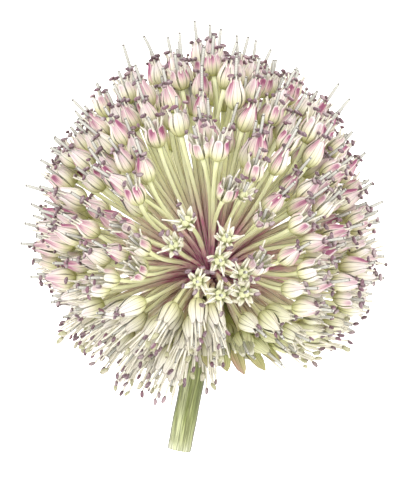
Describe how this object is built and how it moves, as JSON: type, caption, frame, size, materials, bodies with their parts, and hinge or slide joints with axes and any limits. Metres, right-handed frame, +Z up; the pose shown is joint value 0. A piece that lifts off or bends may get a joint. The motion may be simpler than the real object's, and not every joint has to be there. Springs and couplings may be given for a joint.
{
  "type": "allium flower head",
  "caption": "Round umbel of stalked bell florets with protruding styles, on a short cut stem, lying on its side.",
  "frame": {"origin": "middle of the footprint, on the surface that the flower lies on", "axes": "+Z up from the surface, +Y from the stem's side to the top of the head, +X to the right seen from above"},
  "size_m": [0.086, 0.1034, 0.0773],
  "materials": {
    "florets": "matte fresh petals, yellow-green below and pink at the tips",
    "stem": "satin fresh stem, finely ribbed"
  },
  "bodies": {
    "root": {"flower_head": "florets", "stem": "stem"}
  },
  "joints": []
}
